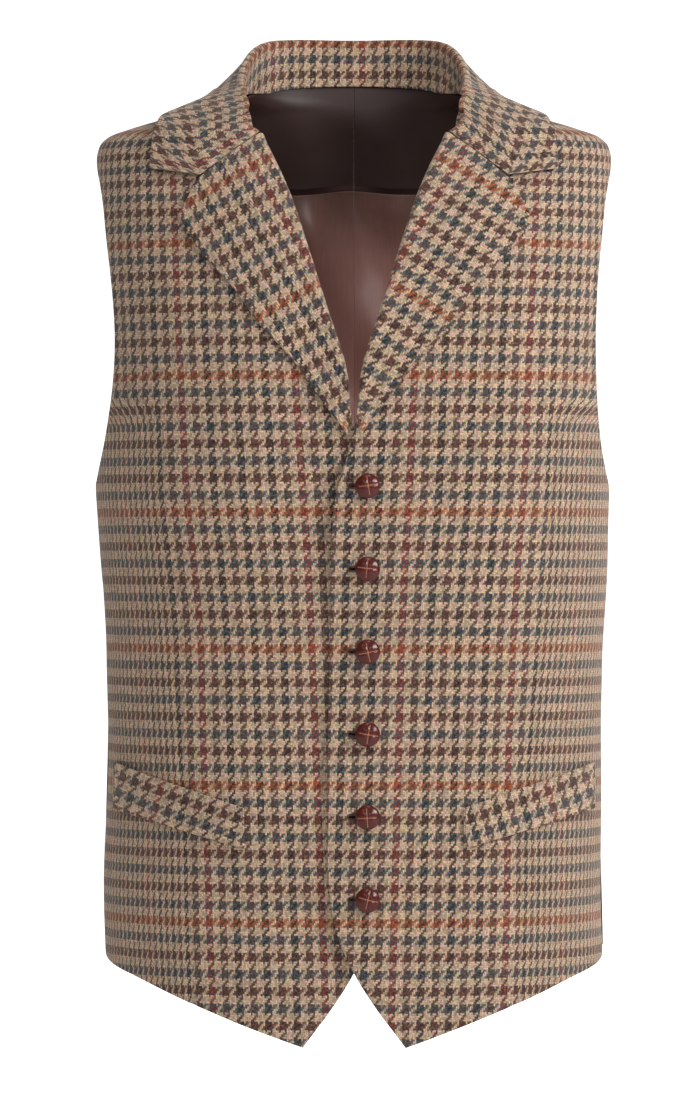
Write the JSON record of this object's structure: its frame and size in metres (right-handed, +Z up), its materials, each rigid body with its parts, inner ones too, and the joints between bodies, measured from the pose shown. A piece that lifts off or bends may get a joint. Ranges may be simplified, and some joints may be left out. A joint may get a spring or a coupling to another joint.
{
  "type": "tweed waistcoat",
  "caption": "Single-breasted houndstooth tweed waistcoat with a notched collar and lapels, leather buttons, two welt pockets and a buckled back cinch.",
  "frame": {"origin": "between the shoulders on the garment's middle line, where the wearer's neck enters it and the fall of the collar meets the shoulders", "axes": "+Z up along the body, -Y out of the buttoned front, +X towards the wearer's left"},
  "size_m": [0.3494, 0.2417, 0.6797],
  "materials": {
    "tweed": "woollen houndstooth tweed, matt and hairy",
    "collar_tweed": "the same tweed, cut on another grain",
    "canvas": "hair canvas, matt",
    "lining_satin": "satin lining, soft sheen",
    "yoke_satin": "dark satin, soft sheen",
    "back_satin": "satin back, soft sheen",
    "button_leather": "polished oxblood leather with a stitched cross",
    "button_back": "plain leather",
    "sewing_thread": "waxed thread",
    "buckle_metal": "antiqued brass"
  },
  "bodies": {
    "garment": {"front_left_outer": "tweed", "front_left_canvas": "canvas", "front_left_facing": "tweed", "front_left_lining": "lining_satin", "pocket_bag_left": "lining_satin", "welt_left": "tweed", "front_right_outer": "tweed", "front_right_canvas": "canvas", "front_right_facing": "tweed", "front_right_lining": "lining_satin", "pocket_bag_right": "lining_satin", "welt_right": "tweed", "lapel_left": "collar_tweed", "lapel_right": "collar_tweed", "back_left_outer": "back_satin", "back_left_lining": "lining_satin", "back_left_yoke_lining": "yoke_satin", "back_right_outer": "back_satin", "back_right_lining": "lining_satin", "back_right_yoke_lining": "yoke_satin", "collar_stand": "tweed", "under_collar": "tweed", "top_collar": "collar_tweed", "button_1_thread": "sewing_thread", "button_2_thread": "sewing_thread", "button_3_thread": "sewing_thread", "button_4_thread": "sewing_thread", "button_5_thread": "sewing_thread", "button_6_thread": "sewing_thread", "cinch_strap_left": "back_satin", "cinch_strap_right": "back_satin", "buckle_sleeve": "back_satin", "cinch_keeper": "back_satin"},
    "button_1": {"button_1_cap": "button_leather", "button_1_shank": "button_back"},
    "button_2": {"button_2_cap": "button_leather", "button_2_shank": "button_back"},
    "button_3": {"button_3_cap": "button_leather", "button_3_shank": "button_back"},
    "button_4": {"button_4_cap": "button_leather", "button_4_shank": "button_back"},
    "button_5": {"button_5_cap": "button_leather", "button_5_shank": "button_back"},
    "button_6": {"button_6_cap": "button_leather", "button_6_shank": "button_back"},
    "buckle": {"buckle_frame": "buckle_metal"},
    "flap": {"buckle_flap": "buckle_metal"}
  },
  "joints": [
    {"name": "button_1_turn", "type": "hinge", "parent": "garment", "child": "button_1", "pos_m": [0.0089, -0.115, -0.2517], "axis": [0, -1, 0], "range_deg": [-40, 40]},
    {"name": "button_2_turn", "type": "hinge", "parent": "garment", "child": "button_2", "pos_m": [0.0089, -0.115, -0.3062], "axis": [0, -1, 0], "range_deg": [-40, 40]},
    {"name": "button_3_turn", "type": "hinge", "parent": "garment", "child": "button_3", "pos_m": [0.0089, -0.115, -0.3607], "axis": [0, -1, 0], "range_deg": [-40, 40]},
    {"name": "button_4_turn", "type": "hinge", "parent": "garment", "child": "button_4", "pos_m": [0.0089, -0.115, -0.4152], "axis": [0, -1, 0], "range_deg": [-40, 40]},
    {"name": "button_5_turn", "type": "hinge", "parent": "garment", "child": "button_5", "pos_m": [0.0089, -0.115, -0.4697], "axis": [0, -1, 0], "range_deg": [-40, 40]},
    {"name": "button_6_turn", "type": "hinge", "parent": "garment", "child": "button_6", "pos_m": [0.0089, -0.115, -0.5242], "axis": [0, -1, 0], "range_deg": [-40, 40]},
    {"name": "buckle_swing", "type": "hinge", "parent": "garment", "child": "buckle", "pos_m": [0.01, 0.0984, -0.43], "axis": [0, 0, -1], "range_deg": [0, 35]},
    {"name": "buckle_flap_open", "type": "hinge", "parent": "buckle", "child": "flap", "pos_m": [-0.01, 0.0984, -0.43], "axis": [0, 0, 1], "range_deg": [0, 100]}
  ]
}
